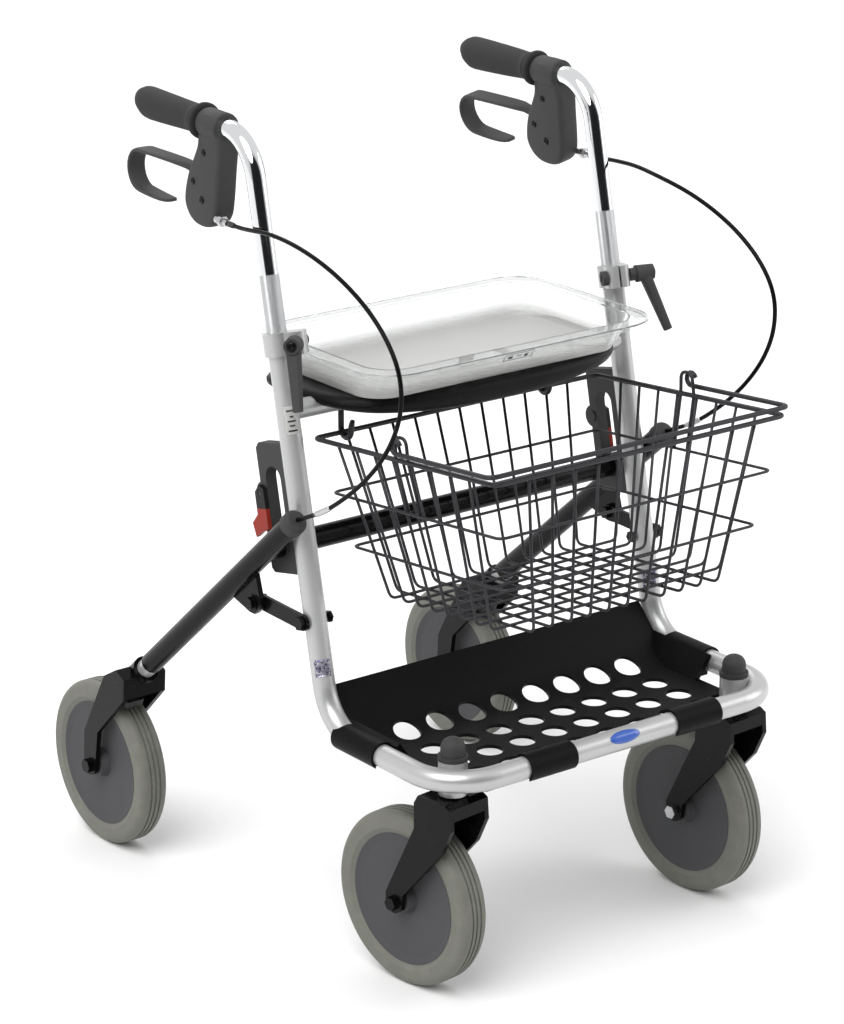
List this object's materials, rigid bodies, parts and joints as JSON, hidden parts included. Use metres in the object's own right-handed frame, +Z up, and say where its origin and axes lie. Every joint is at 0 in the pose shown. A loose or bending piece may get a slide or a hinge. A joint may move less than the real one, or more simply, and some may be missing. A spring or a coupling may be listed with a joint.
{
  "type": "four-wheel walking frame",
  "caption": "Folding four-wheel walking frame with hand brakes, height-adjustable handles, seat, clear tray, wire basket and foot shelf.",
  "frame": {"origin": "centre of the outline on the floor", "axes": "+Z up, the user walks toward -Y, +X toward the left hand; X = 0 is the middle between the legs"},
  "size_m": [0.6, 0.7556, 0.9225],
  "materials": {
    "silver": "satin metallic paint",
    "chrome": "polished",
    "steel": "zinc plated",
    "black_steel": "gloss powder coat",
    "black_wire": "gloss plastic coating",
    "black_plastic": "fine grain",
    "seat_foam": "moulded skin foam",
    "red_plastic": "satin",
    "clear_plastic": "clear acrylic",
    "grip_rubber": "matt",
    "tyre_grey": "matt",
    "hub_plastic": "fine grain"
  },
  "bodies": {
    "front_frame_body": {"front_frame": "silver", "seat": "seat_foam", "foot_shelf": "black_plastic", "basket_hooks": "black_steel", "height_collar_right": "silver", "clamp_knob_right": "black_plastic", "fold_guide_right": "black_plastic", "link_stud_right": "black_steel", "caster_cap_right": "black_plastic", "height_collar_left": "silver", "clamp_knob_left": "black_plastic", "fold_guide_left": "black_plastic", "link_stud_left": "black_steel", "caster_cap_left": "black_plastic"},
    "handle_right": {"handle_tube_right": "chrome", "grip_right": "grip_rubber", "brake_housing_right": "black_plastic", "cable_adjuster_right": "steel", "brake_cable_right": "black_plastic"},
    "brake_lever_right": {"brake_lever_right": "black_plastic"},
    "clamp_lever_right": {"clamp_lever_right": "black_plastic"},
    "fold_latch_right": {"fold_latch_right": "red_plastic"},
    "crossbar_slider": {"crossbar_bush_right": "black_plastic", "crossbar_bush_left": "black_plastic"},
    "handle_left": {"handle_tube_left": "chrome", "grip_left": "grip_rubber", "brake_housing_left": "black_plastic", "cable_adjuster_left": "steel", "brake_cable_left": "black_plastic"},
    "brake_lever_left": {"brake_lever_left": "black_plastic"},
    "clamp_lever_left": {"clamp_lever_left": "black_plastic"},
    "fold_latch_left": {"fold_latch_left": "red_plastic"},
    "rear_frame_body": {"rear_frame": "black_steel", "leg_end_cap_right": "black_plastic", "leg_insert_right": "silver", "rear_fork_right": "black_steel", "rear_axle_right": "black_steel", "leg_end_cap_left": "black_plastic", "leg_insert_left": "silver", "rear_fork_left": "black_steel", "rear_axle_left": "black_steel"},
    "fold_link_right": {"fold_link_right": "black_steel"},
    "brake_shoe_right": {"brake_shoe_right": "black_plastic"},
    "rear_wheel_right": {"rear_tyre_right": "tyre_grey", "rear_hub_right": "hub_plastic"},
    "caster_right": {"caster_fork_right": "black_steel", "caster_axle_right": "steel"},
    "front_wheel_right": {"front_tyre_right": "tyre_grey", "front_hub_right": "hub_plastic"},
    "fold_link_left": {"fold_link_left": "black_steel"},
    "brake_shoe_left": {"brake_shoe_left": "black_plastic"},
    "rear_wheel_left": {"rear_tyre_left": "tyre_grey", "rear_hub_left": "hub_plastic"},
    "caster_left": {"caster_fork_left": "black_steel", "caster_axle_left": "steel"},
    "front_wheel_left": {"front_tyre_left": "tyre_grey", "front_hub_left": "hub_plastic"},
    "basket_body": {"basket": "black_wire"},
    "bail_body": {"basket_bail": "black_wire"},
    "tray_body": {"tray": "clear_plastic"}
  },
  "joints": [
    {"name": "fold", "type": "hinge", "parent": "crossbar_slider", "child": "rear_frame_body", "pos_m": [0, -0.05421, 0.45795], "axis": [-1, 0, 0], "range_deg": [0, 48], "deforming": ["brake_cable_right", "brake_cable_left"]},
    {"name": "crossbar_slide", "type": "slide", "parent": "front_frame_body", "child": "crossbar_slider", "axis": [0, 0.2079, 0.9781], "range_m": [0, 0.0738]},
    {"name": "fold_link_right", "type": "hinge", "parent": "front_frame_body", "child": "fold_link_right", "pos_m": [-0.2525, -0.10547, 0.38512], "axis": [1, 0, 0], "range_deg": [0, 63.9]},
    {"name": "rear_wheel_spin_right", "type": "hinge", "parent": "rear_frame_body", "child": "rear_wheel_right", "pos_m": [-0.265, 0.2773, 0.1], "axis": [1, 0, 0], "continuous": true},
    {"name": "caster_swivel_right", "type": "hinge", "parent": "front_frame_body", "child": "caster_right", "pos_m": [-0.2005, -0.306, 0.26], "axis": [0, 0, 1], "continuous": true},
    {"name": "front_wheel_spin_right", "type": "hinge", "parent": "caster_right", "child": "front_wheel_right", "pos_m": [-0.20806, -0.24446, 0.1], "axis": [0.9925, 0.1219, 0], "continuous": true},
    {"name": "brake_shoe_right", "type": "slide", "parent": "rear_frame_body", "child": "brake_shoe_right", "axis": [0, 0.4462, -0.8949], "range_m": [0, 0.0025], "stiffness_N_per_m": 4000},
    {"name": "handle_height_right", "type": "slide", "parent": "front_frame_body", "child": "handle_right", "axis": [0, 0.2079, 0.9781], "range_m": [-0.07, 0.06], "deforming": ["brake_cable_right"]},
    {"name": "brake_lever_right", "type": "hinge", "parent": "handle_right", "child": "brake_lever_right", "pos_m": [-0.22959, 0.10425, 0.836], "axis": [0.9985, -0.0541, 0], "range_deg": [-18, 12], "stiffness_Nm_per_rad": 1.5},
    {"name": "clamp_lever_right", "type": "hinge", "parent": "front_frame_body", "child": "clamp_lever_right", "pos_m": [-0.23712, -0.07463, 0.69007], "axis": [-0.7071, -0.6917, 0.147], "range_deg": [-30, 30]},
    {"name": "fold_latch_right", "type": "hinge", "parent": "front_frame_body", "child": "fold_latch_right", "pos_m": [-0.2449, -0.0198, 0.50922], "axis": [1, 0, 0], "range_deg": [0, 25], "stiffness_Nm_per_rad": 0.2},
    {"name": "fold_link_left", "type": "hinge", "parent": "front_frame_body", "child": "fold_link_left", "pos_m": [0.2525, -0.10547, 0.38512], "axis": [1, 0, 0], "range_deg": [0, 63.9]},
    {"name": "rear_wheel_spin_left", "type": "hinge", "parent": "rear_frame_body", "child": "rear_wheel_left", "pos_m": [0.265, 0.2773, 0.1], "axis": [1, 0, 0], "continuous": true},
    {"name": "caster_swivel_left", "type": "hinge", "parent": "front_frame_body", "child": "caster_left", "pos_m": [0.2005, -0.306, 0.26], "axis": [0, 0, 1], "continuous": true},
    {"name": "front_wheel_spin_left", "type": "hinge", "parent": "caster_left", "child": "front_wheel_left", "pos_m": [0.19672, -0.24412, 0.1], "axis": [0.9981, 0.061, 0], "continuous": true},
    {"name": "brake_shoe_left", "type": "slide", "parent": "rear_frame_body", "child": "brake_shoe_left", "axis": [0, 0.4462, -0.8949], "range_m": [0, 0.0025], "stiffness_N_per_m": 4000},
    {"name": "handle_height_left", "type": "slide", "parent": "front_frame_body", "child": "handle_left", "axis": [0, 0.2079, 0.9781], "range_m": [-0.07, 0.06], "deforming": ["brake_cable_left"]},
    {"name": "brake_lever_left", "type": "hinge", "parent": "handle_left", "child": "brake_lever_left", "pos_m": [0.24942, 0.1043, 0.83744], "axis": [0.9781, -0.0068, 0.2079], "range_deg": [-18, 12], "stiffness_Nm_per_rad": 1.5},
    {"name": "clamp_lever_left", "type": "hinge", "parent": "front_frame_body", "child": "clamp_lever_left", "pos_m": [0.24994, -0.07123, 0.68935], "axis": [0.9272, -0.3664, 0.0779], "range_deg": [-30, 30]},
    {"name": "fold_latch_left", "type": "hinge", "parent": "front_frame_body", "child": "fold_latch_left", "pos_m": [0.2449, -0.0198, 0.50922], "axis": [1, 0, 0], "range_deg": [0, 25], "stiffness_Nm_per_rad": 0.2},
    {"name": "basket_lift", "type": "slide", "parent": "front_frame_body", "child": "basket_body", "axis": [0, 0, 1], "range_m": [0, 0.018]},
    {"name": "bail_swing", "type": "hinge", "parent": "basket_body", "child": "bail_body", "pos_m": [0, -0.21541, 0.59716], "axis": [-1, 0, 0], "range_deg": [0, 90]},
    {"name": "tray_lift", "type": "slide", "parent": "front_frame_body", "child": "tray_body", "axis": [0, 0, 1], "range_m": [0, 0.01]}
  ],
  "couplings": [
    {"joint": "crossbar_slide", "follows": "fold", "m_per_rad": 0.08797},
    {"joint": "fold_link_right", "follows": "fold", "ratio": 1.3292},
    {"joint": "fold_link_left", "follows": "fold", "ratio": 1.3292}
  ]
}
